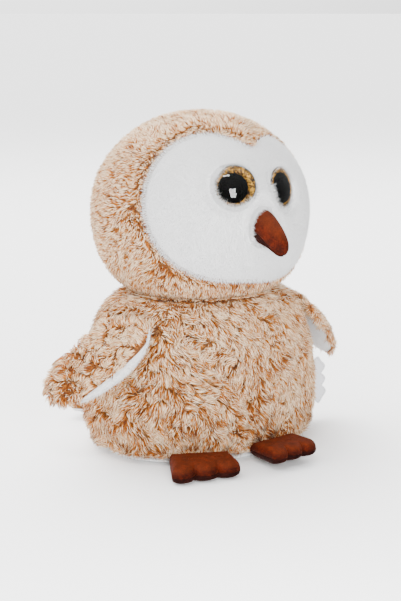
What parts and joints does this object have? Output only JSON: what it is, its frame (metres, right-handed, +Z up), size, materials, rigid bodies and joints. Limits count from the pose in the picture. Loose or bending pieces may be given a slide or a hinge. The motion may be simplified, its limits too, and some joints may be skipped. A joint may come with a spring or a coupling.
{
  "type": "plush owl",
  "caption": "Upright plush owl with a white heart-shaped face, domed eyes, velvet beak and feet, two wings, a fan tail and a side label.",
  "frame": {"origin": "on the floor, under the middle of the base panel", "axes": "+Z up, -Y the way the toy looks, +X its own left side"},
  "size_m": [0.2718, 0.2138, 0.26],
  "materials": {
    "tan_plush": "long-pile plush, cream with tan and orange-brown tips",
    "white_plush": "short-pile white plush",
    "fibre": "polyester fibre stuffing",
    "pouch_cloth": "plain cloth bag of pellets",
    "rust_velvet": "rust-brown velvet",
    "dark_velvet": "dark brown velvet",
    "clear_plastic": "clear gloss dome",
    "gold_glitter": "gold glitter",
    "black_plastic": "black gloss",
    "white_plastic": "moulded",
    "label_cloth": "woven satin"
  },
  "bodies": {
    "torso": {"base_panel": "white_plush", "body_cover": "tan_plush", "body_filling": "fibre", "pellet_pouch": "pouch_cloth"},
    "head": {"head_cover": "tan_plush", "face_panel": "white_plush", "head_filling": "fibre", "left_eye_lens": "clear_plastic", "left_eye_iris": "gold_glitter", "left_eye_pupil": "black_plastic", "left_eye_stem": "black_plastic", "left_eye_washer": "white_plastic", "right_eye_lens": "clear_plastic", "right_eye_iris": "gold_glitter", "right_eye_pupil": "black_plastic", "right_eye_stem": "black_plastic", "right_eye_washer": "white_plastic", "beak_upper": "rust_velvet", "beak_under": "dark_velvet", "beak_filling": "fibre"},
    "label": {"side_label": "label_cloth"},
    "tail": {"tail_upper": "tan_plush", "tail_under": "white_plush", "tail_filling": "fibre"},
    "left_wing": {"left_wing_outer": "tan_plush", "left_wing_inner": "white_plush", "left_wing_filling": "fibre"},
    "left_foot": {"left_foot_upper": "rust_velvet", "left_foot_sole": "dark_velvet", "left_foot_filling": "fibre"},
    "right_wing": {"right_wing_outer": "tan_plush", "right_wing_inner": "white_plush", "right_wing_filling": "fibre"},
    "right_foot": {"right_foot_upper": "rust_velvet", "right_foot_sole": "dark_velvet", "right_foot_filling": "fibre"}
  },
  "joints": [
    {"name": "head_turn", "type": "hinge", "parent": "torso", "child": "head", "pos_m": [0, 0, 0.12315], "axis": [0, 0, 1], "range_deg": [-15, 15], "stiffness_Nm_per_rad": 0.3},
    {"name": "left_wing_hinge", "type": "hinge", "parent": "torso", "child": "left_wing", "pos_m": [0.08258, -0.00464, 0.10799], "axis": [-0.1045, -0.9945, 0], "range_deg": [-3, 55], "stiffness_Nm_per_rad": 0.03, "springref_deg": 1.15},
    {"name": "right_wing_hinge", "type": "hinge", "parent": "torso", "child": "right_wing", "pos_m": [-0.07433, -0.02827, 0.10799], "axis": [-0.5736, 0.8192, 0], "range_deg": [-3, 55], "stiffness_Nm_per_rad": 0.03, "springref_deg": 1.15},
    {"name": "left_foot_hinge", "type": "hinge", "parent": "torso", "child": "left_foot", "pos_m": [0.02589, -0.07347, 0.0115], "axis": [-0.9781, -0.2079, 0], "range_deg": [0, 35], "stiffness_Nm_per_rad": 0.01},
    {"name": "right_foot_hinge", "type": "hinge", "parent": "torso", "child": "right_foot", "pos_m": [-0.03534, -0.069, 0.0069], "axis": [-0.9563, 0.2924, 0], "range_deg": [0, 35], "stiffness_Nm_per_rad": 0.01},
    {"name": "tail_hinge", "type": "hinge", "parent": "torso", "child": "tail", "pos_m": [0, 0.07546, 0.0078], "axis": [1, 0, 0], "range_deg": [0, 35], "stiffness_Nm_per_rad": 0.02},
    {"name": "label_swing", "type": "hinge", "parent": "torso", "child": "label", "pos_m": [0.09439, 0.00788, 0.031], "axis": [0, 0, 1], "range_deg": [-40, 40], "stiffness_Nm_per_rad": 0.0005}
  ]
}
